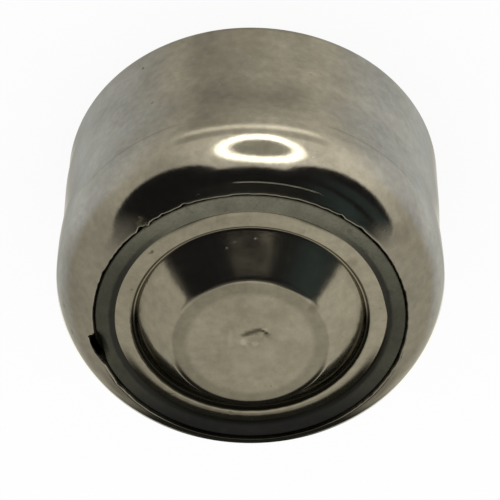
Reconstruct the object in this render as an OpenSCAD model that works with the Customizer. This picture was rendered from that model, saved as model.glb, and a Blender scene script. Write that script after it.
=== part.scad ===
// Alkaline button cell: a crimped steel can, a stamped cap with a raised contact boss,
// the nylon gasket between them, and the electrodes and separators that they seal in.
// Every piece is a turned section. Sizes are in millimetres, and z is 0 under the can's floor.

/* [Cell] */
// Overall height, from under the can's floor to the top of the contact boss
cell_h = 5.4; // [5.2:0.05:5.6]
// Diameter of the can's straight wall
wall_d = 7.62; // [7.5:0.01:7.7]
// Largest diameter, where the crimping has pushed the wall out
bulge_d = 7.75; // [7.7:0.01:7.9]

/* [Can] */
// Thickness of the can's nickel-plated steel
can_t = 0.2; // [0.15:0.01:0.22]
// Height of the crimped lip's outer edge above the floor
lip_z = 4.69; // [4.65:0.01:4.75]
// Diameter of the opening inside the crimped lip
lip_d = 6.24; // [6.2:0.01:6.3]
// Slope of the crimped lip, in degrees from level
lip_slope = 38; // [36:1:44]
// Bend radius of the crimped shoulder
shoulder_r = 1.45; // [1.3:0.05:1.85]
// Outside radius of the edge round the floor
floor_r = 0.08; // [0.06:0.01:0.19]
// Length of the break in the lip, along the edge
nick_l = 0.66; // [0.3:0.01:0.8]
// Depth of the break in the lip, outwards from the edge
nick_depth = 0.13; // [0.05:0.01:0.2]
// Bearing of the break, in degrees from +X
nick_bearing = 14; // [0:1:359]

/* [Cap] */
// Thickness of the cap's clad sheet
cap_t = 0.17; // [0.14:0.01:0.18]
// Diameter at which the boss's flat top and its sloped side meet, before the edge is rounded
boss_d = 3.03; // [3.0:0.01:3.2]
// Bend radius of the boss's top edge
boss_edge_r = 0.42; // [0.3:0.01:0.5]
// Slope of the boss's side, in degrees from level
boss_slope = 48; // [47:1:50]
// Inside diameter of the raised bead round the boss
bead_in_d = 4.61; // [4.58:0.01:4.64]
// Outside diameter of the raised bead
bead_out_d = 5.6; // [5.58:0.01:5.62]
// Height of the bead's crest above the can's lip
bead_rise = 0; // [0:0.01:0.03]
// Diameter of the cap's body below the step
body_d = 6.12; // [6.08:0.01:6.16]

/* [Inside] */
// Height of the gasket's foot above the can's outside floor
foot_z = 2.66; // [2.6:0.01:2.7]
// Thickness of the separator film
film_t = 0.06; // [0.04:0.01:0.1]
// Thickness of the absorbent pad
pad_t = 0.2; // [0.15:0.01:0.22]
// Thickness of the support ring's sheet
ring_t = 0.15; // [0.1:0.01:0.2]
// Diameter of the hole in the support ring's flange
ring_hole_d = 5.6; // [5.4:0.05:5.8]

/* [Hidden] */
turn_fn = 128;
arc_error = 0.002; // how far an arc's chords may stray from the arc
widest_arc_step = 15;

// ---- section tools ---------------------------------------------------------------------
// A section line is a list of corners [r, z, bend radius], walked with the outside of the
// piece on its left and its material on its right. Its two ends have no bend.

function rz(corner) = [corner[0], corner[1]];
function bend_of(corner) = len(corner) > 2 ? corner[2] : 0;
function unit(v) = v / norm(v);
function right_of(v) = [v[1], -v[0]];
function angle_of(p, centre) = atan2(p[1] - centre[1], p[0] - centre[0]);
function reversed(list) = [for (i = [len(list) - 1 : -1 : 0]) list[i]];
function but_last(list) = [for (i = [0 : len(list) - 2]) list[i]];
function but_ends(list) = [for (i = [1 : len(list) - 2]) list[i]];

// Points along an arc, from angle a0 to a1
function arc(centre, r, a0, a1) =
    let (step = min(widest_arc_step, 2 * acos(1 - arc_error / r)),
         n = max(2, ceil(abs(a1 - a0) / step)))
    [for (i = [0 : n])
        let (a = a0 + (a1 - a0) * i / n)
        centre + r * [cos(a), sin(a)]];

// One corner of a section line as an arc that touches both of its sides
function rounded(before, corner, after) =
    let (u = unit(rz(corner) - rz(before)), v = unit(rz(after) - rz(corner)),
         r = bend_of(corner), side = cross(u, v) > 0 ? 1 : -1, turn = acos(u * v),
         start = rz(corner) - r * tan(turn / 2) * u,
         centre = start - side * r * right_of(u), a0 = angle_of(start, centre))
    r <= 0 ? [rz(corner)] : arc(centre, r, a0, a0 + side * turn);

// A whole section line as points, with its corners rounded
function bent(line) =
    concat([rz(line[0])],
           [for (i = [1 : len(line) - 2]) each rounded(line[i - 1], line[i], line[i + 1])],
           [rz(line[len(line) - 1])]);

// A section line moved to its right by t: the other face of a sheet of that thickness
function moved(line, t) =
    let (last = len(line) - 1)
    [for (i = [0 : last])
        let (u = unit(rz(line[max(i, 1)]) - rz(line[max(i - 1, 0)])),
             v = unit(rz(line[min(i + 1, last)]) - rz(line[min(i, last - 1)])),
             m = right_of(u), n = right_of(v),
             r = bend_of(line[i]) + (cross(u, v) > 0 ? t : -t))
        concat(rz(line[i]) + t * (m + n) / (1 + m * n), bend_of(line[i]) > 0 ? max(0, r) : 0)];

// The points of a line above a height, those outside a radius, and its radius at a height
function above(points, z) = [for (p = points) if (p[1] > z) p];
function beyond(points, r) = [for (p = points) if (p[0] > r) p];
function radius_at(points, z) =
    [for (i = [1 : len(points) - 1])
        let (a = points[i - 1], b = points[i])
        if (min(a[1], b[1]) <= z && z < max(a[1], b[1]))
            a[0] + (b[0] - a[0]) * (z - a[1]) / (b[1] - a[1])][0];

// Where two circles cross, on the left of the line from centre a to centre b
function crossing(a, ra, b, rb) =
    let (d = norm(b - a), u = (b - a) / d, along = (ra * ra - rb * rb + d * d) / (2 * d))
    a + along * u - sqrt(ra * ra - along * along) * right_of(u);

module turned(section) rotate_extrude($fn = turn_fn) polygon(section);
module disc(z, t, r) translate([0, 0, z]) cylinder(h = t, r = r, $fn = turn_fn);

// ---- can -------------------------------------------------------------------------------
wall_r = wall_d / 2;
bulge_r = bulge_d / 2;
lip_r = lip_d / 2;
bulge_start_z = 2.05;
bulge_end_z = 2.85;
bulge_bend = 7;
shoulder_z = lip_z - (bulge_r - lip_r) * tan(lip_slope);

// Outside of the can, from the lip down to the centre of the floor
can_outside = [[lip_r, lip_z],
               [bulge_r, shoulder_z, shoulder_r],
               [bulge_r, bulge_end_z, bulge_bend],
               [wall_r, bulge_start_z, bulge_bend],
               [wall_r, 0, floor_r],
               [0, 0]];
can_inside = bent(moved(can_outside, can_t));
can_bore_r = wall_r - can_t;

// ---- cap -------------------------------------------------------------------------------
boss_r = boss_d / 2;
bead_in_r = bead_in_d / 2;
bead_out_r = bead_out_d / 2;
body_r = body_d / 2;
bead_z = lip_z + bead_rise;
groove_bend = 0.03;
bead_inner_bend = 0.03;
crown_r = 2.555; // where the bead's crest would turn down, if it weren't rounded
crown_bend = 0.5;
crown_slope = 28;
bead_outer_bend = 0.25;
step_z = 4.1;
step_bend = 0.2;
hem_top_z = 3.6;
hem_z = foot_z + 0.24;
groove_z = cell_h - (bead_in_r - boss_r) * tan(boss_slope);

// Outside of the boss, from the axis down its side to the groove, and then of the bead and
// of the stepped body, down to the top of the hem
boss_outside = [[0, cell_h], [boss_r, cell_h, boss_edge_r], [bead_in_r, groove_z, groove_bend]];
crown_edge_z = bead_z - (bead_out_r - crown_r) * tan(crown_slope);
bead_outside = [[bead_in_r, bead_z, bead_inner_bend], [crown_r, bead_z, crown_bend],
                [bead_out_r, crown_edge_z, bead_outer_bend]];
step_outside = [[bead_out_r, step_z, step_bend],
                [body_r, step_z - (body_r - bead_out_r), step_bend],
                [body_r, hem_top_z]];
cap_outside = bent(concat(boss_outside, bead_outside, step_outside));

// Inside of the cap: the sheet doubles back under the bead, where the groove's bend meets
// the crown's
boss_normal = [sin(boss_slope), cos(boss_slope)];
groove_arc_r = bead_in_r - groove_bend;
groove_arc = [groove_arc_r,
              cell_h + (groove_bend - (groove_arc_r - boss_r) * boss_normal[0]) / boss_normal[1]];
crown_arc = [crown_r - crown_bend * tan(crown_slope / 2), bead_z - crown_bend];
bead_arc = [bead_out_r - bead_outer_bend,
            crown_edge_z - bead_outer_bend * tan((90 - crown_slope) / 2)];
under_groove = groove_bend + cap_t;
under_crown = crown_bend - cap_t;
under_bead = bead_outer_bend - cap_t;
fold = crossing(groove_arc, under_groove, crown_arc, under_crown);
boss_inside = but_last(bent(moved(boss_outside, cap_t)));
groove_inside = arc(groove_arc, under_groove, -90 - boss_slope, angle_of(fold, groove_arc));
bead_inside = concat(arc(crown_arc, under_crown, angle_of(fold, crown_arc), 90 - crown_slope),
                     arc(bead_arc, under_bead, 90 - crown_slope, 0));
body_inside = but_ends(bent(moved(concat([[bead_out_r, bead_arc[1]]], step_outside), cap_t)));
cap_inside = concat(boss_inside, groove_inside, bead_inside, body_inside);

// The rim, folded back outwards on itself, from its outer edge to the inside of the cap
hem = concat([[body_r + cap_t, hem_top_z]],
             arc([body_r, hem_z + cap_t], cap_t, 0, -180));
cap_bore_r = body_r - cap_t;

// ---- gasket ----------------------------------------------------------------------------
gasket_lip_r = cap_bore_r - 0.25;
gasket_lip_z = hem_z + 0.4;
seal_z = lip_z - 0.06; // where the squeezed gasket meets the bead
cap_seat = [for (p = beyond(cap_outside, crown_arc[0])) if (p[1] < seal_z) p];
seal_r = radius_at(beyond(cap_outside, crown_arc[0]), seal_z);

// ---- inside ----------------------------------------------------------------------------
film_z = foot_z - film_t;
film_r = can_bore_r - 0.01;
ring_z = film_z - ring_t;
sleeve_z = can_t + 0.1;
sleeve_r = can_bore_r - ring_t;
ring_hole_r = ring_hole_d / 2;
anode_z = foot_z + pad_t;
anode_top_z = cell_h - cap_t - 0.18; // leaves room for the zinc to swell

// ---- pieces ----------------------------------------------------------------------------

// Drawn cup whose open end is crimped inwards over the gasket, with a break in its lip
module positive_can() {
    color([0.55, 0.53, 0.47])
    difference() {
        turned(concat(bent(can_outside), reversed(can_inside)));
        rotate(nick_bearing) translate([lip_r, 0, lip_z - 0.5]) nick();
    }
}

// The break: it starts square, and runs out along the edge as a shallower bite
module nick() {
    linear_extrude(1) scale([nick_depth, nick_l])
    polygon([[-3, -0.5], [1, -0.5], [0.85, -0.1], [0.5, 0.1], [0.6, 0.35], [0, 0.5], [-3, 0.5]]);
}

// Stamped cap: contact boss, groove, raised bead, stepped body, and a rim hemmed outwards
module negative_cap() {
    color([0.56, 0.53, 0.46])
    turned(concat(cap_outside, hem, reversed(cap_inside)));
}

// Nylon ring: a wall squeezed between can and cap, a foot under the hem, and an inner lip
module sealing_gasket() {
    color([0.2, 0.2, 0.18])
    turned(concat(
        above(can_inside, foot_z),
        [[radius_at(can_inside, foot_z), foot_z], [gasket_lip_r, foot_z],
         [gasket_lip_r, gasket_lip_z], [cap_bore_r, gasket_lip_z]],
        reversed(hem), reversed(cap_seat), [[seal_r, seal_z]]));
}

// Zinc gel that fills the cap, short of the boss's ceiling and of the fold in the bead
module zinc_anode() {
    color([0.45, 0.46, 0.48])
    turned(concat(
        [[0, anode_z], [gasket_lip_r, anode_z], [gasket_lip_r, gasket_lip_z],
         [cap_bore_r, gasket_lip_z]],
        reversed(body_inside),
        reversed([for (p = groove_inside) if (p[0] < groove_arc_r) p]),
        [[radius_at(cap_inside, anode_top_z), anode_top_z], [0, anode_top_z]]));
}

// Disc of non-woven fibre that holds the electrolyte against the zinc
module absorbent_pad() {
    color([0.86, 0.85, 0.8]) disc(foot_z, pad_t, gasket_lip_r);
}

// Barrier film that keeps the electrodes apart, gripped under the gasket's foot
module separator_film() {
    color([0.8, 0.72, 0.5]) disc(film_z, film_t, film_r);
}

// L-section ring round the cathode that carries the gasket's foot
module support_ring() {
    color([0.6, 0.6, 0.6])
    turned([[sleeve_r, sleeve_z], [can_bore_r, sleeve_z], [can_bore_r, film_z],
            [ring_hole_r, film_z], [ring_hole_r, ring_z], [sleeve_r, ring_z]]);
}

// Pressed manganese dioxide and graphite, which stands up through the ring's hole
module cathode_pellet() {
    color([0.1, 0.1, 0.1])
    turned([[0, can_t], [sleeve_r, can_t], [sleeve_r, ring_z],
            [ring_hole_r, ring_z], [ring_hole_r, film_z], [0, film_z]]);
}

positive_can();
negative_cap();
sealing_gasket();
zinc_anode();
absorbent_pad();
separator_film();
support_ring();
cathode_pellet();
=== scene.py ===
"""Alkaline button cell: its can, cap and gasket as finely turned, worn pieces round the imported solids."""
import math

import bmesh
import bpy
from mathutils import Matrix, Vector, noise


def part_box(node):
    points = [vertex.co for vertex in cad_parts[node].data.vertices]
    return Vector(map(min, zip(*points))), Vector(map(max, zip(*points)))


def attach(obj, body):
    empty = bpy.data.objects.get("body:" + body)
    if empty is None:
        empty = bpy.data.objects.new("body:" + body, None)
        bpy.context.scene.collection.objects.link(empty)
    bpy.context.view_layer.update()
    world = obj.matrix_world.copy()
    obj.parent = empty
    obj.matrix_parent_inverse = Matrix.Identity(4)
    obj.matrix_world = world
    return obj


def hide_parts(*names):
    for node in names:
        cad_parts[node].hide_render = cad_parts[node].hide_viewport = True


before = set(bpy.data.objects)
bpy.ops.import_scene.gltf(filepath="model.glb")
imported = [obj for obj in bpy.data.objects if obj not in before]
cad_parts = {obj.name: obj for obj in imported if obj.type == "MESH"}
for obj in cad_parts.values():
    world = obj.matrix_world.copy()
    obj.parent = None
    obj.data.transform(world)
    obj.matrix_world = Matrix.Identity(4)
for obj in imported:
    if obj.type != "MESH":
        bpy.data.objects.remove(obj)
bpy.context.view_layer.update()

# ---- sizes, in millimetres ---------------------------------------------------------------
MM = 0.001
can_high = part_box("positive_can")[1] / MM
cap_low, cap_high = (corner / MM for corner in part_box("negative_cap"))
gasket_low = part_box("sealing_gasket")[0] / MM

BULGE_R = can_high.x
LIP_Z = can_high.z
CELL_H = cap_high.z
HEM_Z = cap_low.z
FOOT_Z = gasket_low.z
SHEET_T = 0.2
CAP_T = 0.17
WALL_R = 3.81
LIP_R = 3.12
LIP_SLOPE = math.radians(38)
SHOULDER_BEND = 1.45
FLOOR_BEND = 0.08
BULGE_START_Z = 2.05
BULGE_END_Z = 2.85
BULGE_BEND = 7.0
BOSS_R = 1.55
BOSS_BEND = 0.22
BOSS_SLOPE = math.radians(48)
BEAD_IN_R = 2.305
BEAD_OUT_R = 2.8
BEAD_Z = LIP_Z
BODY_R = 3.06
GROOVE_BEND = 0.03
BEAD_IN_BEND = 0.05
CROWN_R = 2.555
CROWN_BEND = 0.5
CROWN_SLOPE = math.radians(28)
BEAD_OUT_BEND = 0.25
STEP_Z = 4.1
STEP_BEND = 0.2
HEM_TOP_Z = 3.6
GASKET_LIP_T = 0.25
GASKET_LIP_H = 0.4
SEAL_Z = LIP_Z - 0.06
EDGE_BEND = 0.025  # a sheared edge, rubbed round

SECTORS = 24
SECTOR_STEPS = 16
FINE_STEP = 0.05
PLAIN_STEP = 0.2
BEND_STEP = math.radians(7)
WELD = 1e-5
ARC_STEP = 0.04  # along a bend
ARC_TURNS = (math.radians(3), math.radians(20))  # the least and the most turn in one step


# ---- section lines -----------------------------------------------------------------------
# A section line is a list of corners (r, z, bend radius), walked with the outside of the
# piece on its left and its material on its right, as the part's own turned sections are.

def along(a, b):
    return Vector((b[0] - a[0], b[1] - a[1])).normalized()


def right_of(v):
    return Vector((v.y, -v.x))


def moved(line, thickness):
    """The line moved to its right: the other face of a sheet."""
    last = len(line) - 1
    other = []
    for i, corner in enumerate(line):
        u = along(line[max(i - 1, 0)], line[max(i, 1)])
        v = along(line[min(i, last - 1)], line[min(i + 1, last)])
        m, n = right_of(u), right_of(v)
        place = Vector(corner[:2]) + (m + n) * (thickness / (1 + m.dot(n)))
        bend = corner[2] + (thickness if u.cross(v) > 0 else -thickness)
        other.append((place.x, place.y, max(0, bend) if corner[2] else 0))
    return other


class Section:
    """A turned piece's section, drawn in the plane y = 0 by extruding and spinning its tip."""

    def __init__(self, r, z):
        self.bm = bmesh.new()
        self.first = self.tip = self.bm.verts.new((r, 0, z))

    def line_to(self, r, z, step=FINE_STEP):
        start, end = self.tip.co.copy(), Vector((r, 0, z))
        parts = max(1, round((end - start).length / step))
        for i in range(parts):
            self.tip = bmesh.ops.extrude_vert_indiv(self.bm, verts=[self.tip])["verts"][0]
            self.tip.co = start.lerp(end, (i + 1) / parts)

    def arc(self, centre, turn, step=BEND_STEP):
        steps = max(2, round(abs(turn) / step))
        spun = bmesh.ops.spin(self.bm, geom=[self.tip], cent=(centre[0], 0, centre[1]),
                              axis=(0, -1, 0), angle=turn, steps=steps)
        self.tip = spun["geom_last"][0]

    def walk(self, line, step=FINE_STEP):
        """Follows a section line from where the tip is, rounding its corners."""
        line = [(self.tip.co.x, self.tip.co.z, 0)] + list(line)
        for before, corner, after in zip(line, line[1:], line[2:]):
            u, v = along(before, corner), along(corner, after)
            bend = corner[2]
            turn = -u.angle_signed(v)
            start = Vector(corner[:2]) - u * (bend * abs(math.tan(turn / 2)))
            self.line_to(start.x, start.y, step)
            if bend:
                side = math.copysign(1, turn)
                self.arc(start - right_of(u) * (side * bend), turn, arc_step(bend))
        self.line_to(line[-1][0], line[-1][1], step)

    def turned(self):
        """Spins the section round the cell's axis. A section off the axis is closed first."""
        bm = self.bm
        if self.first.co.x > 0:
            bm.edges.new((self.tip, self.first))
        sector = 2 * math.pi / SECTORS
        bmesh.ops.spin(bm, geom=bm.verts[:] + bm.edges[:], cent=(0, 0, 0), axis=(0, 0, 1),
                       angle=sector, steps=SECTOR_STEPS)
        bmesh.ops.spin(bm, geom=bm.verts[:] + bm.edges[:] + bm.faces[:], cent=(0, 0, 0),
                       axis=(0, 0, 1), angle=sector * (SECTORS - 1), steps=SECTORS - 1,
                       use_duplicate=True)
        bmesh.ops.remove_doubles(bm, verts=bm.verts, dist=WELD)
        bmesh.ops.recalc_face_normals(bm, faces=bm.faces)
        return bm


def arc_step(bend):
    """How far a bend turns in one step, so that small bends take fewer of them."""
    least, most = ARC_TURNS
    return min(most, max(least, ARC_STEP / bend))


def finish_piece(bm, name, material):
    for face in bm.faces:
        face.smooth = True
    bmesh.ops.scale(bm, vec=(MM, MM, MM), verts=bm.verts)
    mesh = bpy.data.meshes.new(name)
    bm.to_mesh(mesh)
    bm.free()
    mesh.materials.append(material)
    piece = bpy.data.objects.new(name, mesh)
    bpy.context.scene.collection.objects.link(piece)
    return piece


# ---- can ---------------------------------------------------------------------------------
SHOULDER_Z = LIP_Z - (BULGE_R - LIP_R) * math.tan(LIP_SLOPE)
CAN_LINE = [(LIP_R, LIP_Z, 0), (BULGE_R, SHOULDER_Z, SHOULDER_BEND),
            (BULGE_R, BULGE_END_Z, BULGE_BEND), (WALL_R, BULGE_START_Z, BULGE_BEND),
            (WALL_R, 0, FLOOR_BEND), (0, 0, 0)]
CAN_INSIDE = moved(CAN_LINE, SHEET_T)
LIP_ALONG = Vector((-math.cos(LIP_SLOPE), math.sin(LIP_SLOPE)))  # up the lip to its edge
LIP_STRAIGHT = ((BULGE_R - LIP_R) / math.cos(LIP_SLOPE)
                - SHOULDER_BEND * math.tan((math.pi / 2 - LIP_SLOPE) / 2))
LIP_INSIDE = 0.12
NICK_BEARING = math.radians(7)  # where the break's blunt end is
NICK_LINE = ((0, 0.0), (0.4, 0.1), (1.2, 0.165), (5.5, 0.175), (8.5, 0.13), (10.5, 0.07),
             (13, 0.035), (14, 0.0))  # degrees on from the blunt end, and depth
CHIPS = ((-66, 1.8, 0.035), (-57, 1.5, 0.03), (-47, 2.2, 0.045), (-50.5, 1.0, -0.05),
         (-124, 1.6, 0.03), (-133, 2.4, 0.025), (31, 2.5, 0.03), (-22, 4, 0.02),
         (95, 3, 0.015), (160, 5, 0.02))  # bearing, half width and depth
LIP_GRAINS = ((7, 3.7), (26, 8.1))  # two noises along the lip: how fine, and where they are read
LIP_GRAIN = 0.012
LIP_ZONE = 0.4  # how far down from the lip its wear may reach
WAVE = 0.003  # hand marks: how far the sheet's surface wanders
WAVES = ((0.8, 1, (0, 0, 0)), (2.3, 0.3, (5, 0, 0)))  # how fine, what share, and where they are read
# Where the wall's outer skin is pressed out or in: on which side along X, how far, and the
# heights over which it fades.
PRESSED = ((-1, 0.06, (2.8, 1.2)), (1, -0.04, (1.0, 0.2)))
SKIN_R = 3.7


def can_section():
    """The inside, from the axis up to the lip, and then the lip and the outside down again."""
    section = Section(0, SHEET_T)
    under_lip = Vector(CAN_INSIDE[0][:2]) - LIP_ALONG * LIP_INSIDE
    section.walk([*CAN_INSIDE[-2:0:-1], under_lip], PLAIN_STEP)
    section.walk([(*CAN_INSIDE[0][:2], EDGE_BEND), (LIP_R, LIP_Z, EDGE_BEND), *CAN_LINE[1:4],
                  (WALL_R, FLOOR_BEND * 2, 0)], FINE_STEP)
    section.walk([(WALL_R, 0, FLOOR_BEND), (0, 0, 0)], PLAIN_STEP)
    return section


def turned_from(bearing, start):
    """Degrees from a start to a bearing, between -180 and 180."""
    return (math.degrees(bearing) - start + 180) % 360 - 180


def nick(bearing):
    """How far the break eats into the lip."""
    on = turned_from(bearing, math.degrees(NICK_BEARING))
    for (low, before), (high, after) in zip(NICK_LINE, NICK_LINE[1:]):
        if low <= on < high:
            return before + (after - before) * (on - low) / (high - low)
    return 0


def hump(across, half):
    """1 in the middle, falling smoothly to 0 at the half width."""
    return 0.5 + 0.5 * math.cos(math.pi * min(1, abs(across / half)))


def lip_wear(bearing):
    """How far the lip's ragged edge stands back at a bearing, in mm."""
    c, s = math.cos(bearing), math.sin(bearing)
    ragged = sum(LIP_GRAIN * noise.noise((fine * c, fine * s, where)) for fine, where in LIP_GRAINS)
    chips = sum(depth * hump(turned_from(bearing, middle), half) for middle, half, depth in CHIPS)
    return ragged + chips + nick(bearing)


def wave(bm, depth):
    """Moves a sheet's corners in and out a little, as handling leaves it."""
    bm.normal_update()
    for vert in bm.verts:
        height = sum(share * noise.noise(vert.co * fine + Vector(where)) for fine, share, where in WAVES)
        vert.co += vert.normal * (depth * height)


def ramp(value, low, high):
    """0 at low and beyond, rising smoothly to 1 at high."""
    t = min(1, max(0, (value - low) / (high - low)))
    return t * t * (3 - 2 * t)


def make_can():
    bm = can_section().turned()
    wave(bm, WAVE)
    for vert in bm.verts:
        r, bearing = math.hypot(vert.co.x, vert.co.y), math.atan2(vert.co.y, vert.co.x)
        for side, out, heights in PRESSED:
            if r > SKIN_R and side * vert.co.x > 0:
                vert.co.xy *= 1 + out * (vert.co.x / r) ** 2 * ramp(vert.co.z, *heights) / r
        offset = Vector((r - LIP_R, vert.co.z - LIP_Z))
        back = -offset.dot(LIP_ALONG)
        if -2 * EDGE_BEND < back < LIP_STRAIGHT and vert.co.z > LIP_Z - LIP_ZONE:
            shift = lip_wear(bearing) * (1 - max(0, back) / LIP_STRAIGHT)
            r -= shift * LIP_ALONG.x
            vert.co = (r * math.cos(bearing), r * math.sin(bearing),
                       vert.co.z - shift * LIP_ALONG.y)
    return bm


# ---- cap ---------------------------------------------------------------------------------
GROOVE_Z = CELL_H - (BEAD_IN_R - BOSS_R) * math.tan(BOSS_SLOPE)
GROOVE_ARC_R = BEAD_IN_R - GROOVE_BEND
GROOVE_ARC = Vector((GROOVE_ARC_R, CELL_H + (GROOVE_BEND - (GROOVE_ARC_R - BOSS_R)
                                             * math.sin(BOSS_SLOPE)) / math.cos(BOSS_SLOPE)))
CROWN_EDGE_Z = BEAD_Z - (BEAD_OUT_R - CROWN_R) * math.tan(CROWN_SLOPE)
CROWN_ARC = Vector((CROWN_R - CROWN_BEND * math.tan(CROWN_SLOPE / 2), BEAD_Z - CROWN_BEND))
BEAD_ARC = Vector((BEAD_OUT_R - BEAD_OUT_BEND, CROWN_EDGE_Z - BEAD_OUT_BEND
                   * math.tan((math.pi / 2 - CROWN_SLOPE) / 2)))
UNDER_GROOVE = GROOVE_BEND + CAP_T
UNDER_CROWN = CROWN_BEND - CAP_T
UNDER_BEAD = BEAD_OUT_BEND - CAP_T
HEM_CENTRE = Vector((BODY_R, HEM_Z + CAP_T))
BOSS_LINE = [(0, CELL_H, 0), (BOSS_R, CELL_H, BOSS_BEND), (BEAD_IN_R, GROOVE_Z, GROOVE_BEND)]
CROWN_LEAN = math.radians(3.5)  # the crest leans outwards
CROWN_FALL = (CROWN_R - BEAD_IN_R) * math.tan(CROWN_LEAN)
BEAD_LINE = [(BEAD_IN_R, BEAD_Z, BEAD_IN_BEND), (CROWN_R, BEAD_Z - CROWN_FALL, CROWN_BEND),
             (BEAD_OUT_R, CROWN_EDGE_Z, BEAD_OUT_BEND)]
STEP_LINE = [(BEAD_OUT_R, STEP_Z, STEP_BEND), (BODY_R, STEP_Z - (BODY_R - BEAD_OUT_R), STEP_BEND),
             (BODY_R, HEM_TOP_Z, 0)]


def crossing(a, ra, b, rb):
    """Where two circles cross, on the left of the line from centre a to centre b."""
    d = (b - a).length
    u = (b - a) / d
    reach = (ra * ra - rb * rb + d * d) / (2 * d)
    return a + u * reach - right_of(u) * math.sqrt(ra * ra - reach * reach)


def angle_of(p, centre):
    return math.atan2(p[1] - centre[1], p[0] - centre[0])


def cap_section():
    """The inside, from the axis to the hem, and then the outside back up to the boss."""
    fold = crossing(GROOVE_ARC, UNDER_GROOVE, CROWN_ARC, UNDER_CROWN)
    edge = math.pi / 2 - CROWN_SLOPE
    under_edge = BEAD_ARC + UNDER_BEAD * Vector((math.cos(edge), math.sin(edge)))
    boss_inside = moved(BOSS_LINE, CAP_T)
    body_inside = moved([(BEAD_OUT_R, BEAD_ARC.y, 0), *STEP_LINE], CAP_T)
    groove_start = -math.pi / 2 - BOSS_SLOPE
    under = GROOVE_ARC + UNDER_GROOVE * Vector((math.cos(groove_start), math.sin(groove_start)))
    section = Section(0, CELL_H - CAP_T)
    section.walk([boss_inside[1], (under.x, under.y)], PLAIN_STEP)
    section.arc(GROOVE_ARC, angle_of(fold, GROOVE_ARC) - groove_start)
    section.arc(CROWN_ARC, edge - angle_of(fold, CROWN_ARC))
    section.line_to(under_edge.x, under_edge.y)
    section.arc(BEAD_ARC, -edge)
    section.walk([*body_inside[1:-1], (BODY_R - CAP_T, HEM_CENTRE.y)], PLAIN_STEP)
    section.arc(HEM_CENTRE, math.pi)
    section.walk([(BODY_R + CAP_T, HEM_TOP_Z, 0), *STEP_LINE[::-1], *BEAD_LINE[::-1],
                  *BOSS_LINE[::-1]], FINE_STEP)
    return section


DENTS = (((0.1, -0.13), (-0.18, -0.25), 0.2, 0.013), ((-0.32, -0.21), (-0.34, -0.16), 0.09, 0.005),
         ((-0.27, -0.36), (-0.3, -0.33), 0.08, -0.004), ((0.16, -0.02), (0.1, 0.04), 0.07, -0.003),
         ((0.42, -0.3), (0.46, 0.02), 0.09, -0.002), ((0.25, -0.8), (0.2, -0.78), 0.15, 0.002),
         ((-1.1, -1.02), (-1.34, -0.74), 0.1, 0.005))  # from, to, half width and depth
DENTED_R = 0.6  # the mesh is finer inside this
TOP_SKIN = 0.02  # faces this near the top are the boss's
DENT_REACH = 0.2  # and the dents go no further down than this
OVAL = 0.02  # the foot of the boss stands out a little more along X
OVAL_R = (1.6, 2.15, 2.36, 2.52)


def make_cap():
    bm = cap_section().turned()
    dented = [face for face in bm.faces if face.calc_center_median().z > CELL_H - TOP_SKIN
              and face.calc_center_median().xy.length < DENTED_R]
    edges = list({edge for face in dented for edge in face.edges})
    bmesh.ops.subdivide_edges(bm, edges=edges, cuts=1, use_grid_fill=True)
    wave(bm, WAVE)
    for vert in bm.verts:
        r = math.hypot(vert.co.x, vert.co.y)
        if OVAL_R[0] < r < OVAL_R[3]:
            out = OVAL * (vert.co.x / r) ** 2 * ramp(r, *OVAL_R[:2]) * ramp(r, *OVAL_R[:1:-1])
            vert.co.xy *= 1 + out / r
        if vert.co.z < CELL_H - DENT_REACH:
            continue
        for start, end, half, depth in DENTS:
            start, end = Vector(start), Vector(end)
            span = end - start
            on = min(1, max(0, (vert.co.xy - start).dot(span) / span.length_squared))
            vert.co.z -= depth * hump((vert.co.xy - start - span * on).length, half)
    return bm


# ---- gasket ------------------------------------------------------------------------------
GASKET_SWELL = 0.015
SWELL_BEND = 0.3
RIM_BEND = 0.03
RIM_GAP = 0.015
GAP_ZONE = 0.25  # how far down from the seal the gaps reach
RIM_SHARE = 0.78  # how far up the lip's sheared face the nylon is squeezed
# Where the nylon has shrunk from the lip, or from the bead where the reach is below zero:
# bearing, half width, reach and depth.
GASKET_GAPS = ((13, 9, 0.2, 0.4), (-21, 12, 0.05, 0.12), (-2, 6, 0.035, 0.08), (33, 12, 0.05, 0.12),
               (56, 14, 0.035, 0.08), (180, 22, 0.035, 0.08), (-50, 4, 0.06, 0.12),
               (155, 40, -0.13, 0.12), (80, 110, -0.09, 0.07))


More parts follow.
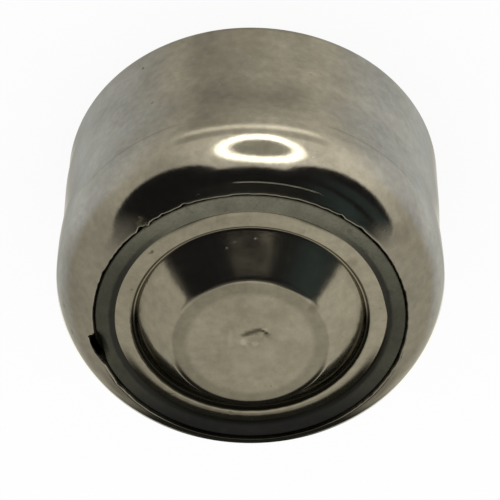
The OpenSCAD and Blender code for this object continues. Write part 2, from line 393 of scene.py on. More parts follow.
def make_gasket():
    """Its top face alone is seen, between the can's lip and the bead."""
    lip_r = BODY_R - CAP_T - GASKET_LIP_T
    lip_z = HEM_Z + GASKET_LIP_H
    rise = SEAL_Z - CROWN_ARC.y
    seal = CROWN_ARC + Vector((math.sqrt(CROWN_BEND ** 2 - rise ** 2), rise))
    edge = math.pi / 2 - CROWN_SLOPE
    foot_r = CAN_INSIDE[2][0] - (BULGE_END_Z - FOOT_Z) * (BULGE_R - WALL_R) / (BULGE_END_Z
                                                                            - BULGE_START_Z)
    section = Section(lip_r, FOOT_Z)
    section.walk([(lip_r, lip_z, 0), (BODY_R - CAP_T, lip_z, 0),
                  (BODY_R - CAP_T, HEM_CENTRE.y, 0)], PLAIN_STEP)
    section.arc(HEM_CENTRE, math.pi)
    section.walk([(BODY_R + CAP_T, HEM_TOP_Z, 0), *STEP_LINE[::-1], (BEAD_OUT_R, BEAD_ARC.y, 0)],
                 PLAIN_STEP)
    section.arc(BEAD_ARC, edge)
    section.line_to(seal.x, seal.y)
    inside = Vector(CAN_INSIDE[0][:2])
    rim = inside.lerp(Vector((LIP_R, LIP_Z)), RIM_SHARE)
    swell = seal.lerp(rim, 0.5) + Vector((0, GASKET_SWELL))
    section.walk([(swell.x, swell.y, SWELL_BEND), (rim.x - RIM_GAP, rim.y, RIM_BEND), (*inside, 0),
                  *CAN_INSIDE[1:3], (foot_r, FOOT_Z, 0)])
    bm = section.turned()
    for vert in bm.verts:
        r, bearing = math.hypot(vert.co.x, vert.co.y), math.atan2(vert.co.y, vert.co.x)
        if vert.co.z < SEAL_Z - GAP_ZONE:
            continue
        for middle, half, reach, depth in GASKET_GAPS:
            share = hump(turned_from(bearing, middle), half)
            at_rim = min(1, max(0, 1 - (rim.x - r) / reach)) if reach > 0 else 0
            at_bead = min(1, max(0, 1 - (r - seal.x) / -reach)) if reach < 0 else 0
            vert.co.z -= depth * share * max(at_rim, at_bead)
    return bm


# ---- materials ---------------------------------------------------------------------------
WHITE = (1, 1, 1, 1)
GRAIN_SPAN = {"From Min": 0.3, "From Max": 0.7}  # nearly all of a noise is in this
SPECK_CORE = 0.4  # the share of a speck's size that is wholly covered


class Tree:
    """Short calls for the nodes of one tree: a value may be a number or another node's output."""

    def __init__(self, owner):
        owner.use_nodes = True
        self.nodes, self.links = owner.node_tree.nodes, owner.node_tree.links

    def put(self, socket, value):
        if isinstance(value, bpy.types.NodeSocket):
            self.links.new(value, socket)
        else:
            socket.default_value = value

    def add(self, kind, inputs=None, output=0, **settings):
        node = self.nodes.new("ShaderNode" + kind)
        for key, value in settings.items():
            setattr(node, key, value)
        for socket, value in (inputs or {}).items():
            self.put(node.inputs[socket], value)
        return node.outputs[output]

    def calc(self, operation, *values):
        return self.add("Math", dict(enumerate(values)), operation=operation)

    def plus(self, a, b):
        return self.calc("ADD", a, b)

    def minus(self, a, b):
        return self.calc("SUBTRACT", a, b)

    def times(self, *values):
        product = values[0]
        for value in values[1:]:
            product = self.calc("MULTIPLY", product, value)
        return product

    def smooth(self, value, low, high):
        return self.add("MapRange", {"Value": value, "From Min": low, "From Max": high},
                        interpolation_type="SMOOTHSTEP")

    def band(self, value, low, high, edge):
        """1 between low and high, and 0 outside them, with soft edges."""
        rise = self.smooth(value, low - edge, low + edge)
        return self.times(rise, self.smooth(value, high + edge, high - edge))

    def mix(self, amount, under, over):
        return self.add("Mix", {0: amount, 6: under, 7: over}, output=2, data_type="RGBA")


class Finish(Tree):
    """One piece's surface, patterned by the place on the piece, in millimetres."""

    def __init__(self, name, colour):
        self.material = bpy.data.materials.new(name)
        super().__init__(self.material)
        self.shader = self.nodes["Principled BSDF"]
        metres = self.add("TexCoord", output="Object")
        self.place = self.add("VectorMath", {0: metres, "Scale": 1 / MM}, operation="SCALE")
        self.colour = self.mix(0, (*colour, 1), (*colour, 1))
        self.rough = 0.5
        self.relief = 0

    def grain(self, scale, detail=2, place=None):
        """Soft cloudy noise, from about 0.3 to 0.7, with this many clouds in a millimetre."""
        vector = self.place if place is None else place
        return self.add("TexNoise", {"Vector": vector, "Scale": scale, "Detail": detail})

    def warped(self, scale, amount):
        """The place pushed about by noise, so that what is drawn there is ragged."""
        push = self.add("TexNoise", {"Vector": self.place, "Scale": scale}, "Color")
        push = self.add("VectorMath", {0: push, 1: (0.5, 0.5, 0.5)}, operation="SUBTRACT")
        return self.add("VectorMath", {0: push, 1: (amount,) * 3, 2: self.place},
                        operation="MULTIPLY_ADD")

    def spot(self, middle, half, place=None, soft=0.5):
        """1 within a spot round a place, and 0 outside it."""
        vector = self.place if place is None else place
        away = self.add("VectorMath", {0: vector, 1: middle}, "Value", operation="DISTANCE")
        return self.smooth(away, half * (1 + soft), half * (1 - soft))

    def specks(self, scale, size, share):
        """Round specks scattered over the surface: so many in a millimetre, on some cells only."""
        cell = {"Vector": self.place, "Scale": scale}
        near = self.smooth(self.add("TexVoronoi", cell, "Distance"), size, size * SPECK_CORE)
        pick = self.add("SeparateXYZ", {0: self.add("TexVoronoi", cell, "Color")})
        return self.times(near, self.calc("LESS_THAN", pick, share))

    def tone(self, amount, colour):
        """Covers the colour so far by this much."""
        self.colour = self.mix(amount, self.colour, (*colour, 1))

    def axis(self, name):
        return self.add("SeparateXYZ", {0: self.place}, name)

    def radius(self, place=None):
        """How far a place is from the cell's axis."""
        flat = self.add("VectorMath", {0: self.place if place is None else place, 1: (1, 1, 0)},
                        operation="MULTIPLY")
        return self.add("VectorMath", {0: flat}, "Value", operation="LENGTH")

    def spread(self, pattern, low, high):
        return self.add("MapRange", {"Value": pattern, **GRAIN_SPAN, "To Min": low, "To Max": high})

    def shade(self, pattern, low, high):
        """Multiplies the colour by a level that goes from low to high with the pattern."""
        level = self.spread(pattern, low, high)
        self.colour = self.add("VectorMath", {0: self.colour, "Scale": level}, operation="SCALE")

    def roughen(self, pattern, low, high):
        """Sets the roughness to a level that goes from low to high with the pattern."""
        self.rough = self.spread(pattern, low, high)

    def add_rough(self, amount, more):
        self.rough = self.plus(self.rough, self.times(amount, more))

    def raise_by(self, pattern, height):
        """Adds relief: how high the pattern's 1 stands over its 0, in millimetres."""
        self.relief = self.plus(self.relief, self.times(pattern, height))

    def done(self, metallic=0.0, specular=0.5):
        self.put(self.shader.inputs["Base Color"], self.colour)
        self.put(self.shader.inputs["Roughness"], self.rough)
        self.shader.inputs["Metallic"].default_value = metallic
        self.shader.inputs["Specular IOR Level"].default_value = specular
        bump = self.add("Bump", {"Height": self.relief, "Distance": MM})
        self.put(self.shader.inputs["Normal"], bump)
        return self.material


# ---- steel and nylon ---------------------------------------------------------------------
STEEL = (0.28, 0.26, 0.213)
CAP_STEEL = (0.325, 0.3, 0.235)
STAIN = (0.1, 0.075, 0.045)
# soot on the nylon, and painted shade on the lip's far edge
SOOT_AND_SHADE = (0.012, 0.011, 0.009)
EDGE_TINT = (0.58, 0.58, 0.55, 1)
CAN_MARKS = (((3.69, 0.11, 4.1), 0.05, 0.5), ((3.54, 0.67, 4.23), 0.06, 0.4),
             ((2.17, -3.13, 0.52), 0.04, 0.75), ((0.76, -3.73, 0.75), 0.13, 0.2),
             ((-2.94, -1.9, 4.36), 0.2, 0.22), ((-1.2, -3.6, 1.4), 0.05, 0.4),
             ((1.9, -3.3, 1.9), 0.04, 0.45), ((0.2, 3.8, 1.3), 0.09, 0.5),
             ((3.4, 1.8, 1.1), 0.07, 0.5), ((-3.2, 2.0, 2.2), 0.1, 0.4))
CAP_MARKS = (((1.93, -1.7, 4.67), 0.035, 0.7), ((2.29, -1.2, 4.66), 0.03, 0.8),
             ((2.3, -0.77, 4.69), 0.03, 0.5), ((-2.55, -0.3, 4.67), 0.035, 0.6),
             ((1.99, -0.96, 4.61), 0.04, 0.5), ((0.55, -2.52, 4.66), 0.12, 0.2),
             ((-0.96, -2.21, 4.69), 0.1, 0.2), ((-1.98, -1.47, 4.69), 0.1, 0.25),
             ((0.4, 2.4, 4.69), 0.05, 0.3), ((1.6, 1.9, 4.69), 0.04, 0.3))
CONE_DUST = (((1.0, -1.66, 4.9), 0.03), ((-0.62, -1.6, 5.1), 0.025), ((-0.95, -1.5, 5.1), 0.03),
             ((0.75, -1.45, 5.2), 0.025), ((-0.1, -2.1, 4.75), 0.03),
             ((0.46, -1.95, 4.86), 0.035), ((0.31, -2.04, 4.79), 0.03), ((-0.27, -1.71, 5.1), 0.03),
             ((0.46, -1.67, 5.15), 0.025))

# A grain is how many clouds of noise there are in a millimetre, and their detail. A warp is
# how many clouds, and how far they push.
TARNISH_GRAIN = (1.1, 4)
STEEL_SHADES = ((6, 4, 0.9, 1.09), (38, 2, 0.965, 1.035))  # pattern, darkest and lightest level
WARM_GRAIN = (0.9, 3)
WARM_WARP = (2, 0.6)
WARM_FROM = (0.5, 0.72)
WARM = (0.25, 0.22, 0.165)
WARM_DEPTH = 0.3
ROUGH_GRAIN = (3, 4)
DOTS = (5, 0.1, 0.1)  # how many in a millimetre, how big, and on what share of the cells
DOT_DEPTH = 0.45
DOT_ROUGH = 0.2
DOT_SUNK = -0.001
RAGGED = (7, 0.22)
MARK_ROUGH = 0.25
MARK_SUNK = -0.002
PEEL = (14, 3)
PEEL_RELIEF = 0.0006


def steel(name, colour, rough, marks, tarnish):
    """Nickel-plated steel: cloudy, a little stained, with specks, pits and hairline rubs."""
    finish = Finish(name, colour)
    ragged = finish.warped(*RAGGED)
    finish.shade(finish.grain(*TARNISH_GRAIN), 1 - tarnish, 1 + tarnish)
    for scale, detail, low, high in STEEL_SHADES:
        finish.shade(finish.grain(scale, detail), low, high)
    warm = finish.smooth(finish.grain(*WARM_GRAIN, finish.warped(*WARM_WARP)), *WARM_FROM)
    finish.tone(finish.times(warm, WARM_DEPTH), WARM)
    finish.roughen(finish.grain(*ROUGH_GRAIN), *rough)
    dots = finish.specks(*DOTS)
    finish.tone(finish.times(dots, DOT_DEPTH), STAIN)
    finish.add_rough(dots, DOT_ROUGH)
    for middle, half, depth in marks:
        mark = finish.times(finish.spot(middle, half, ragged), depth)
        finish.tone(mark, STAIN)
        finish.add_rough(mark, MARK_ROUGH)
        finish.raise_by(mark, MARK_SUNK)
    finish.raise_by(finish.grain(*PEEL), PEEL_RELIEF)
    finish.raise_by(dots, DOT_SUNK)
    finish.shader.inputs["Specular Tint"].default_value = EDGE_TINT
    return finish


CAN_ROUGH = (0.085, 0.125)
CAN_TARNISH = 0.12
MUCK = (2.05, -2.36, 4.55)  # caught on the lip
MUCK_HALF = 0.13
MUCK_TONE = (0.1, 0.093, 0.035)
MUCK_DEPTH = 0.9
MUCK_ROUGH = 0.4
CRISP = 0.3  # the edge of a spot of muck, or of pitch and painted shadow
SHEARED = (0.045, 0.044, 0.033)
SHEARED_ROUGH = 0.35
SHEARED_DEEP = (-0.012, -0.05)  # how far under the lip's face the sheared edge starts
SHEARED_BACK = 0.08
FAR_EDGE_SHADE_BACK = (0.06, 0.02)  # painted shade: the lip's edge is black on the side away from -Y
FAR_EDGE_SHADE_Y = (2.3, 2.9)
FAR_EDGE_SHADE_DEPTH = 0.85
# pitch in the break, painted near black also for the shadow in it
PITCH_AND_SHADOW = (0.001, 0.001, 0.001)
PITCH_WARP = (6, 0.1)
NICK_PIT = (3.08, 0.74, 4.5)
NICK_PIT_HALF = 0.24
BURNISH_AND_HIGHLIGHT = (0.55, 0.53, 0.45)
RUB_BACK = (0.228, 0.254, 0.008)  # a hairline rub on the shoulder, just outside the lip, painted lighter as a highlight line
RUB_ACROSS = (-1.35, 0.35, 0.2)
RUB_ROUGH = 0.35
RUB_HIGHLIGHT_DEPTH = 0.3
ON_NEAR_SIDE = (-1, -2)
WAIST_LINE_Z = (3.08, 3.12, 0.03)  # a faint darker line round the waist, on the side towards -Y
WAIST_LINE_X = (1.2, 1.8, 3.0, 3.35)
WAIST_LINE_DEPTH = 0.3


def can_finish():
    """Bright plating, with a raw sheared lip, pitch and painted shadow in the break, the lip's edge painted
    black as shade away from -Y, a rub painted lighter as a highlight, and a darker line at the waist.
    """
    finish = steel("can steel", STEEL, CAN_ROUGH, CAN_MARKS, CAN_TARNISH)
    muck = finish.spot(MUCK, MUCK_HALF, finish.warped(*RAGGED), CRISP)
    finish.tone(finish.times(muck, MUCK_DEPTH), MUCK_TONE)
    finish.add_rough(muck, MUCK_ROUGH)
    out = finish.minus(finish.radius(), LIP_R)
    over = finish.minus(finish.axis("Z"), LIP_Z)
    c, s = math.cos(LIP_SLOPE), math.sin(LIP_SLOPE)
    deep = finish.plus(finish.times(out, s), finish.times(over, c))
    back = finish.minus(finish.times(out, c), finish.times(over, s))
    sheared = finish.times(finish.smooth(deep, *SHEARED_DEEP),
                           finish.smooth(back, LIP_STRAIGHT + SHEARED_BACK, LIP_STRAIGHT))
    finish.tone(sheared, SHEARED)
    finish.add_rough(sheared, SHEARED_ROUGH)
    # painted shade on the lip's edge, on the side away from -Y
    edge = finish.times(finish.smooth(back, *FAR_EDGE_SHADE_BACK), finish.smooth(finish.axis("Y"), *FAR_EDGE_SHADE_Y))
    finish.tone(finish.times(edge, FAR_EDGE_SHADE_DEPTH), SOOT_AND_SHADE)
    # pitch and painted shadow in the break
    in_nick = finish.spot(NICK_PIT, NICK_PIT_HALF, finish.warped(*PITCH_WARP), CRISP)
    finish.tone(finish.times(in_nick, sheared), PITCH_AND_SHADOW)
    near = finish.smooth(finish.axis("Y"), *ON_NEAR_SIDE)
    # a rougher rub, its tone painted lighter as a highlight line
    rub_highlight = finish.times(finish.band(back, *RUB_BACK), finish.band(finish.axis("X"), *RUB_ACROSS), near)
    finish.add_rough(rub_highlight, RUB_ROUGH)
    finish.tone(finish.times(rub_highlight, RUB_HIGHLIGHT_DEPTH), BURNISH_AND_HIGHLIGHT)
    across = finish.calc("ABSOLUTE", finish.axis("X"))
    line = finish.times(finish.smooth(across, *WAIST_LINE_X[:2]), finish.smooth(across, *WAIST_LINE_X[:1:-1]),
                        near, finish.band(finish.axis("Z"), *WAIST_LINE_Z))
    finish.tone(finish.times(line, WAIST_LINE_DEPTH), STAIN)
    return finish.done(metallic=1.0)


CAP_ROUGH = (0.105, 0.15)
CAP_TARNISH = 0.07
DUST = (0.5, 0.48, 0.42)
DUST_WARP = (20, 0.05)
DUST_DEPTH = 0.3
DUST_ROUGH = 0.17
TURN_WARP = (5, 0.03)  # rings round the axis wander this much
# Painted shade, in the groove round the boss and in a ring on the boss's top.
SHADE_TONE = (0.02, 0.018, 0.012)
GROOVE_SHADE_DEPTH = 0.93
GROOVE_SHADE_ROUGH = 0.4
GROOVE_SHADE_ROUGH_FROM = (0.4, 0.8)
SHADE_RING_R = (1.17, 1.33, 1.5, 1.56)  # painted shade: a darker ring inside the boss's edge
SHADE_RING_DEPTH = 0.27
GROOVE_SHADE = (1.98, 2.42)  # painted shade deepens down the boss's side into the groove
GROOVE_SHADE_Z = (5.1, 4.85)
SHADE_FAR = 0.02  # it starts this much higher up on the side away from -Y
SHADE_FAR_Y = (0.2, 1.2)
SHADE_NEAR = 0.14  # on the side towards -Y it starts this much lower down, and is fainter
SHADE_NEAR_Y = (0.28, -0.7)
SHADE_THIN = 0.5
BEAD_SHADE = (2.372, 2.34)
BEAD_SHADE_SHIFT = 0.02
SHADE_FOOT = (2.24, 2.345, 0.02)  # painted shade: the darkest line, in the groove's foot
SHADE_FOOT_Y = (-0.5, 0.1)
SHADE_FOOT_DEPTH = 0.8
BRUISE_AND_SHADE = (0.16, 0.145, 0.1)
BRUISE_WARP = (11, 0.16)
FAINT = (((0.23, -0.8, 5.4), 0.14), ((0.42, -0.4, 5.4), 0.12), ((-0.7, 0.1, 5.4), 0.2),
         ((0.6, 0.5, 5.4), 0.25), ((-0.2, 0.75, 5.4), 0.18), ((-0.55, -0.75, 5.4), 0.2))
# marks on the dents: partly bruising, partly painted shade of the dents
BRUISED_AND_SHADED = (((0.04, -0.27, 5.4), 0.09), ((-0.1, -0.32, 5.4), 0.09), ((-0.32, -0.22, 5.4), 0.06),
           ((-1.2, -0.9, 5.36), 0.1))
# partly burnishing, partly painted highlight on the dents
BURNISHED_AND_LIT = (((0.13, -0.06, 5.4), 0.07), ((-0.09, -0.02, 5.4), 0.06), ((-0.28, -0.37, 5.4), 0.04))
BOSS_MARKS = ((FAINT, BRUISE_AND_SHADE, 0.13), (BRUISED_AND_SHADED, BRUISE_AND_SHADE, 0.6), (BURNISHED_AND_LIT, BURNISH_AND_HIGHLIGHT, 0.32))


def groove_shade_mask(finish, r):
    """How deep the painted shade is, from the boss's side to the bead."""
    y = finish.axis("Y")
    near = finish.smooth(y, *SHADE_NEAR_Y)
    shift = finish.minus(finish.times(finish.smooth(y, *SHADE_FAR_Y), SHADE_FAR),
                         finish.times(near, SHADE_NEAR))
    start, end = GROOVE_SHADE
    painted_shade = finish.calc("DIVIDE", finish.minus(finish.plus(r, shift), start), end - start)
    painted_shade = finish.calc("MINIMUM", finish.calc("MAXIMUM", painted_shade, 0), 1)
    across = finish.calc("DIVIDE", finish.axis("X"), BEAD_IN_R)
    to_bead = finish.minus(r, finish.times(across, BEAD_SHADE_SHIFT))
    thick = finish.minus(1, finish.times(near, SHADE_THIN))
    return finish.times(painted_shade, finish.smooth(to_bead, *BEAD_SHADE), thick,
                        finish.smooth(finish.axis("Z"), *GROOVE_SHADE_Z))


def cap_finish():
    """Satin plating, with a marked boss, flecks of dust on its side, painted shade in the groove and in a
    ring inside the boss's edge, and painted shade and highlight on the dents.
    """
    finish = steel("cap steel", CAP_STEEL, CAP_ROUGH, CAP_MARKS, CAP_TARNISH)
    for middle, half in CONE_DUST:
        fleck = finish.spot(middle, half, finish.warped(*DUST_WARP))
        finish.tone(finish.times(fleck, DUST_DEPTH), DUST)
        finish.add_rough(fleck, DUST_ROUGH)
    r = finish.radius(finish.warped(*TURN_WARP))
    # painted shade: a darker ring inside the boss's edge
    ring = finish.times(finish.smooth(r, *SHADE_RING_R[:2]), finish.smooth(r, *SHADE_RING_R[:1:-1]))
    finish.tone(finish.times(ring, SHADE_RING_DEPTH), SHADE_TONE)
    torn = finish.warped(*BRUISE_WARP)
    # faint stains, and the dents' marks with their painted shade and highlight
    for marks, colour, depth in BOSS_MARKS:
        for middle, half in marks:
            finish.tone(finish.times(finish.spot(middle, half, torn), depth), colour)
    # painted shade in the groove, deepest at its foot
    painted_shade = groove_shade_mask(finish, r)
    finish.tone(finish.times(painted_shade, GROOVE_SHADE_DEPTH), SHADE_TONE)
    foot = finish.times(finish.band(r, *SHADE_FOOT), finish.smooth(finish.axis("Y"), *SHADE_FOOT_Y))
    finish.tone(finish.times(foot, SHADE_FOOT_DEPTH), SHADE_TONE)
    finish.add_rough(finish.smooth(painted_shade, *GROOVE_SHADE_ROUGH_FROM), GROOVE_SHADE_ROUGH)
    return finish.done(metallic=1.0)


# Painted sheen and shade: the nylon is painted lighter towards -Y, where it would mirror the lamp, and near
# black towards +Y, where it lies in shade.
NYLON_PAINTED_SHEEN = (0.125, 0.121, 0.085)
NYLON_SIDE = (0.043, 0.042, 0.027)
NYLON_PAINTED_SHADE = (0.004, 0.004, 0.0034)
SHEEN_Y = (-1.1, -2.7)  # painted sheen for the lamp's reflection: it grows towards -Y
SIDE_SHEEN_X = (-1.2, -2.8)  # and is there thinly on -X's side
SIDE_SHEEN_Y = (0.2, -1.4)
SIDE_SHEEN = 0.4
# painted shade: near black towards +Y
FAR_SHADE_Y = (0.9, 2.7)
NYLON_SHADES = ((2.5, 4, 0.84, 1.16), (22, 3, 0.88, 1.12))
SOOT_GRAIN = (5, 4)
SOOT_FROM = (0.56, 0.72)
SOOT_DEPTH = 0.35
CONTACT_SHADOW = (0.006, 0.006, 0.004)  # painted contact shadow: the dark line against the bead
CONTACT_SHADOW_R = (2.82, 2.76)
CONTACT_SHADOW_WARP = (5, 0.04)
CONTACT_SHADOW_DEPTH = 0.75
NICK_HOLES = ((3.12, 0.46, 4.55), (3.1, 0.6, 4.55), (3.06, 0.74, 4.55))
NICK_HOLE_HALF = 0.11
NICK_HOLE_WARP = (6, 0.08)
NYLON_ROUGH_GRAIN = (6, 3)
NYLON_ROUGH = (0.4, 0.52)
NYLON_GRAIN = (10, 4)
NYLON_RELIEF = 0.002
NYLON_SPECULAR = 0.22


def nylon_finish():
    """Dark nylon, painted lighter towards -Y as a sheen and near black towards +Y as shade, with soot and a
    painted contact shadow.
    """
    finish = Finish("gasket nylon", NYLON_SIDE)
    x, y = finish.axis("X"), finish.axis("Y")
    # painted sheen towards -Y and, thinly, on -X's side; painted shade towards +Y
    painted_sheen = finish.smooth(y, *SHEEN_Y)
    finish.tone(painted_sheen, NYLON_PAINTED_SHEEN)
    finish.tone(finish.times(finish.smooth(x, *SIDE_SHEEN_X), finish.smooth(y, *SIDE_SHEEN_Y),
                             SIDE_SHEEN), NYLON_PAINTED_SHEEN)
    finish.tone(finish.smooth(y, *FAR_SHADE_Y), NYLON_PAINTED_SHADE)
    for scale, detail, low, high in NYLON_SHADES:
        finish.shade(finish.grain(scale, detail), low, high)
    soot = finish.smooth(finish.grain(*SOOT_GRAIN), *SOOT_FROM)
    finish.tone(finish.times(soot, SOOT_DEPTH), SOOT_AND_SHADE)
    # painted contact shadow against the bead, weaker under the painted sheen
    contact_shadow = finish.smooth(finish.radius(finish.warped(*CONTACT_SHADOW_WARP)), *CONTACT_SHADOW_R)
    finish.tone(finish.times(contact_shadow, finish.minus(1, painted_sheen), CONTACT_SHADOW_DEPTH), CONTACT_SHADOW)
    # pitch and painted shadow in the gasket's holes at the break
    for middle in NICK_HOLES:
        finish.tone(finish.spot(middle, NICK_HOLE_HALF, finish.warped(*NICK_HOLE_WARP), CRISP), PITCH_AND_SHADOW)
    finish.roughen(finish.grain(*NYLON_ROUGH_GRAIN), *NYLON_ROUGH)
    finish.raise_by(finish.grain(*NYLON_GRAIN), NYLON_RELIEF)
    return finish.done(specular=NYLON_SPECULAR)


SHELLS = (("can_shell", make_can, can_finish, "positive_can", "can_steel"),
          ("cap_shell", make_cap, cap_finish, "negative_cap", "cap_steel"),
          ("gasket_ring", make_gasket, nylon_finish, "sealing_gasket", "gasket_nylon"))
for name, make, dress, node, slot in SHELLS:
    piece = finish_piece(make(), name, dress())
    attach(piece, "root")
    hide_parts(node)


# ---- what the cell holds ------------------------------------------------------------------
COARSER = 0.15  # a second, wider pattern, as a share of the grains' own scale
COARSE_SHADES = (0.9, 1.1)
ROUGH_COARSER = 0.5


def grainy(name, colour, low, high, scale, rough, relief, metallic=0.0):
    """A pressed or felted stuff, from its grains' size, its spread of tone and its relief."""
    finish = Finish(name, colour)
    finish.shade(finish.grain(scale, 5), low, high)
    finish.shade(finish.grain(scale * COARSER, 3), *COARSE_SHADES)
    finish.roughen(finish.grain(scale * ROUGH_COARSER, 2), *rough)
    finish.raise_by(finish.grain(scale, 5), relief)
    return finish.done(metallic)


INNER = {"zinc_anode": grainy("zinc gel", (0.23, 0.24, 0.25), 0.6, 1.35, 9, (0.3, 0.55), 0.02, 0.5),
         "absorbent_pad": grainy("pad fibre", (0.62, 0.6, 0.54), 0.86, 1.08, 14, (0.85, 1), 0.015),
         "separator_film": grainy("barrier film", (0.7, 0.7, 0.68), 0.93, 1.04, 6, (0.3, 0.4), 0.002),
         "support_ring": grainy("ring steel", (0.36, 0.35, 0.32), 0.85, 1.1, 5, (0.2, 0.32), 0.002, 1),
         "cathode_pellet": grainy("pressed powder", (0.022, 0.021, 0.02), 0.6, 1.6, 12, (0.6, 0.85),
                                  0.012)}
for node, material in INNER.items():
    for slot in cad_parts[node].material_slots:
        slot.material = material

# ---- camera ------------------------------------------------------------------------------
CAMERA_TILT = math.radians(38.22)  # between the cell's axis and the line of sight
CAMERA_DISTANCE = 61.99
CAMERA_LENS = 227.0
AIM_UP = 1.397
AIM_RIGHT = -0.01
SENSOR_WIDTH = 36
CLIP = (0.001, 10)  # in metres

back = Vector((0, -math.sin(CAMERA_TILT), math.cos(CAMERA_TILT)))
up = Vector((0, -math.cos(CAMERA_TILT), -math.sin(CAMERA_TILT)))  # the near side is on top
right = up.cross(back)
aim = Vector((0, 0, LIP_Z)) + up * AIM_UP + right * AIM_RIGHT
camera = bpy.data.objects.new("camera", bpy.data.cameras.new("camera"))
camera.data.sensor_width = SENSOR_WIDTH
camera.data.lens = CAMERA_LENS
camera.data.clip_start, camera.data.clip_end = CLIP
camera.matrix_world = (Matrix.Translation((aim + back * CAMERA_DISTANCE) * MM)
                       @ Matrix((right, up, back)).transposed().to_4x4())
bpy.context.scene.collection.objects.link(camera)
bpy.context.scene.camera = camera

# ---- floor and light ---------------------------------------------------------------------
# Metal shows what it mirrors, so the studio round it is drawn by direction: degrees of bearing
# from the camera's side towards +X, and degrees down from straight overhead.
TENT_LEVELS = ((0, 0.86), (95, 0.86), (114, 1.0), (142.2, 1.0), (144.5, 0.84), (180, 0.84))
TENT_WARM = (1, 0.97, 0.88, 1)
TENT_COOL = (1, 1.05, 1.15, 1)
SIDE_LIFTS = ((1, 0.4), (-1, 0.56))  # more light from low on both sides along X
LIFT_DOWN = (100, 136)
LIFT_BEARINGS = (55, 125)
COOL_BEARINGS = (40, 95)
COOL_DOWN = (97, 116)
COOL_END = (165, 125)
DIM_SIDE = 0.84  # the tent above the horizon, on +X's side
DIM_SIDE_DOWN = (140, 96)
DIM_SIDE_BEARINGS = (60, 100)
FLOOR_DIP = -0.28  # the floor ahead, in the cell's own shade
FLOOR_DOWN = (139, 142)
FLOOR_BEARINGS = (48, 28)
CARD_TOP = (13, 21)
CARD_BOTTOM = 62
CARD_SIDES = ((-100, -78), (108, 70))
CARD_EDGE = 2.5
LOBE_POWER = 0.75  # lower is squarer
CARD_LOBES = ((-55, 36, 86), (52, 34, 85))  # bearing, half width, lowest point
CARD_DARK = (0.024, 0.024, 0.026, 1)
CARD_TEAL = (0.07, 0.1, 0.105, 1)
CARD_PALE = (0.2, 0.2, 0.18, 1)
CARD_PALE_DOWN = (45, 15)
TEAL_BEARINGS = (-25, -65)
TEAL_BANDS = ((43, 53, 1.0), (59, 71, 0.75))  # from, to, how strong
TEAL_EDGE = 3
BACK_DOWN = 80
BACK_REACH = (37, 25)
BACK_DARK = (0.035, 0.035, 0.03, 1)
BACK_FEET = (((70, 122), (156, 168)), ((70, 137), (170, 176)))  # down, and from the side
FOOT_EDGE = 3
BEHIND_DOWN = (126, 140)  # low behind the cell, where its silhouette looks
BEHIND_BEARINGS = (125, 158)
BEHIND = 0.55
LAMP_BEARING = -4.9
LAMP_DOWN = 93.5
LAMP_INNER = (12.5, 17.5, 0.95)  # from, to, and how much narrower than tall
LAMP_OUTER = (27.5, 22.5, 1.13)
LAMP_LIGHT = (5.8, 5.7, 5.3, 1)
LAMP_MIDDLE = (0.72, 0.7, 0.62, 1)
GLOW_BEARING = -24
GLOW_DOWN = 98
GLOW_REACH = (72, 22)
GLOW = 0.68
GLINTS = (-162, 162)
GLINT_DOWN = 133
GLINT_REACH = (8, 3)
GLINT = 1.6
BAND_SIDES = (46, 32)  # the lamp's housing, seen as a dim band with a light one under it
BAND_EDGE = 2
DIM_BAND = (119, 130, 0.62)
LIGHT_BAND = (133, 139.5, 1.5)


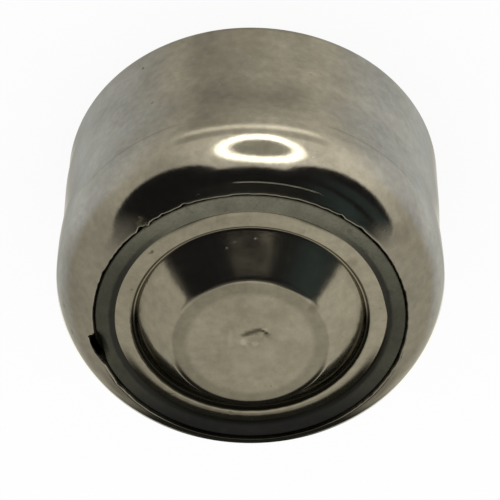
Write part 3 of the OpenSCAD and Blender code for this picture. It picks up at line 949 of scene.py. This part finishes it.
class Studio(Tree):
    """The world's pattern for mirrored rays, by their direction. Every other ray sees white."""

    def __init__(self, world):
        super().__init__(world)
        self.way = self.add("TexCoord", output="Generated")
        x, y, z = (self.add("SeparateXYZ", {0: self.way}, output=axis) for axis in "XYZ")
        self.bearing = self.calc("DEGREES", self.calc("ARCTAN2", x, self.times(y, -1)))
        self.aside = self.calc("ABSOLUTE", self.bearing)
        self.down = self.calc("DEGREES", self.calc("ARCCOSINE", z))

    def off(self, bearing, down):
        """Degrees away from one direction."""
        bearing, down = math.radians(bearing), math.radians(down)
        middle = (math.sin(down) * math.sin(bearing), -math.sin(down) * math.cos(bearing),
                  math.cos(down))
        near = self.add("VectorMath", {0: self.way, 1: middle}, "Value", operation="DOT_PRODUCT")
        return self.calc("DEGREES", self.calc("ARCCOSINE", near))

    def scaled(self, level, where, share):
        """The level, brought to a share of itself where the pattern is 1."""
        return self.times(level, self.plus(self.times(where, share - 1), 1))

    def tent(self):
        """The white tent: its level by height, warm ahead of the camera and cool at the sides."""
        level = TENT_LEVELS[0][1]
        for (low, before), (high, after) in zip(TENT_LEVELS, TENT_LEVELS[1:]):
            if before != after:
                step = self.times(self.smooth(self.down, low, high), after - before)
                level = self.plus(level, step)
        glow = self.smooth(self.off(GLOW_BEARING, GLOW_DOWN), *GLOW_REACH)
        level = self.plus(level, self.times(glow, GLOW))
        for bearing in GLINTS:
            glint = self.smooth(self.off(bearing, GLINT_DOWN), *GLINT_REACH)
            level = self.plus(level, self.times(glint, GLINT))
        ahead = self.smooth(self.aside, *BAND_SIDES)
        for low, high, share in (DIM_BAND, LIGHT_BAND):
            band = self.times(self.band(self.down, low, high, BAND_EDGE), ahead)
            level = self.scaled(level, band, share)
        dip = self.times(self.smooth(self.down, *FLOOR_DOWN), self.smooth(self.aside, *FLOOR_BEARINGS))
        level = self.plus(level, self.times(dip, FLOOR_DIP))
        for side, more in SIDE_LIFTS:
            lift = self.times(self.smooth(self.down, *LIFT_DOWN),
                              self.smooth(self.times(self.bearing, side), *LIFT_BEARINGS))
            level = self.plus(level, self.times(lift, more))
        behind = self.times(self.smooth(self.down, *BEHIND_DOWN),
                            self.smooth(self.aside, *BEHIND_BEARINGS))
        level = self.scaled(level, behind, BEHIND)
        side = self.times(self.smooth(self.bearing, *DIM_SIDE_BEARINGS),
                          self.smooth(self.down, *DIM_SIDE_DOWN))
        level = self.scaled(level, side, DIM_SIDE)
        cool = self.times(self.smooth(self.aside, *COOL_BEARINGS),
                          self.smooth(self.down, *COOL_DOWN), self.smooth(self.aside, *COOL_END))
        tint = self.mix(cool, TENT_WARM, TENT_COOL)
        return self.add("VectorMath", {0: tint, "Scale": level}, operation="SCALE")

    def card(self):
        """A dark card round the camera, its lower edge hanging in two lobes."""
        bottom = CARD_BOTTOM
        for bearing, half, lowest in CARD_LOBES:
            across = self.calc("DIVIDE", self.minus(self.bearing, bearing), half)
            rest = self.minus(1, self.times(across, across))
            drop = self.calc("POWER", self.calc("MAXIMUM", rest, 0), LOBE_POWER)
            drop = self.times(drop, lowest - CARD_BOTTOM)
            bottom = self.calc("MAXIMUM", self.plus(drop, CARD_BOTTOM), bottom)
        below = self.minus(self.down, bottom)
        shape = self.smooth(below, CARD_EDGE, -CARD_EDGE)
        shape = self.times(shape, self.smooth(self.down, *CARD_TOP))
        for side in CARD_SIDES:
            shape = self.times(shape, self.smooth(self.bearing, *side))
        return shape

    def back_shade(self):
        """The dark end of the room, low behind the cell."""
        shade = self.smooth(self.off(180, BACK_DOWN), *BACK_REACH)
        for down, sides in BACK_FEET:
            foot = self.times(self.band(self.down, *down, FOOT_EDGE), self.smooth(self.aside, *sides))
            shade = self.calc("MAXIMUM", shade, foot)
        return shade

    def lamp(self):
        """A ring lamp on the camera's side."""
        tall = self.minus(self.down, LAMP_DOWN)
        edges = []
        for low, high, narrow in (LAMP_INNER, LAMP_OUTER):
            wide = self.times(self.minus(self.bearing, LAMP_BEARING), narrow)
            off = self.calc("SQRT", self.plus(self.times(wide, wide), self.times(tall, tall)))
            edges.append(self.smooth(off, low, high))
        return edges


world = bpy.data.worlds.new("studio")
bpy.context.scene.world = world
world.cycles.sampling_method = "NONE"
studio = Studio(world)
teal = 0
for low, high, share in TEAL_BANDS:
    band = studio.times(studio.band(studio.down, low, high, TEAL_EDGE), share)
    teal = studio.calc("MAXIMUM", band, teal)
teal = studio.times(teal, studio.smooth(studio.bearing, *TEAL_BEARINGS))
card_tone = studio.mix(teal, CARD_DARK, CARD_TEAL)
card_tone = studio.mix(studio.smooth(studio.down, *CARD_PALE_DOWN), card_tone, CARD_PALE)
mirrored = studio.mix(studio.card(), studio.tent(), card_tone)
mirrored = studio.mix(studio.back_shade(), mirrored, BACK_DARK)
ring, lamp = studio.lamp()
mirrored = studio.mix(lamp, mirrored, studio.mix(ring, LAMP_MIDDLE, LAMP_LIGHT))
glossy = studio.add("LightPath", output="Is Glossy Ray")
studio.put(studio.nodes["Background"].inputs["Color"], studio.mix(glossy, WHITE, mirrored))

FLOOR_SIDE = 2.0  # in metres
FLOOR_TONE = (0.94, 0.94, 0.94, 1)
FLOOR_GLOW = 0.9  # a camera ray sees it this much white by itself
bm = bmesh.new()
bmesh.ops.create_grid(bm, x_segments=1, y_segments=1, size=FLOOR_SIDE / 2)
floor_mesh = bpy.data.meshes.new("floor")
bm.to_mesh(floor_mesh)
bm.free()
floor = bpy.data.objects.new("floor", floor_mesh)
bpy.context.scene.collection.objects.link(floor)
floor.visible_glossy = False
floor_paint = bpy.data.materials.new("floor")
paint = Tree(floor_paint)
shader = paint.nodes["Principled BSDF"]
shader.inputs["Base Color"].default_value = FLOOR_TONE
shader.inputs["Roughness"].default_value = 1
shader.inputs["Specular IOR Level"].default_value = 0
glow = paint.add("Emission", {"Color": WHITE})
seen = paint.times(paint.add("LightPath", output="Is Camera Ray"), FLOOR_GLOW)
paint.put(paint.nodes["Material Output"].inputs["Surface"],
          paint.add("MixShader", {0: seen, 1: shader.outputs[0], 2: glow}))
floor_mesh.materials.append(floor_paint)

bpy.context.scene.view_settings.view_transform = "Standard"
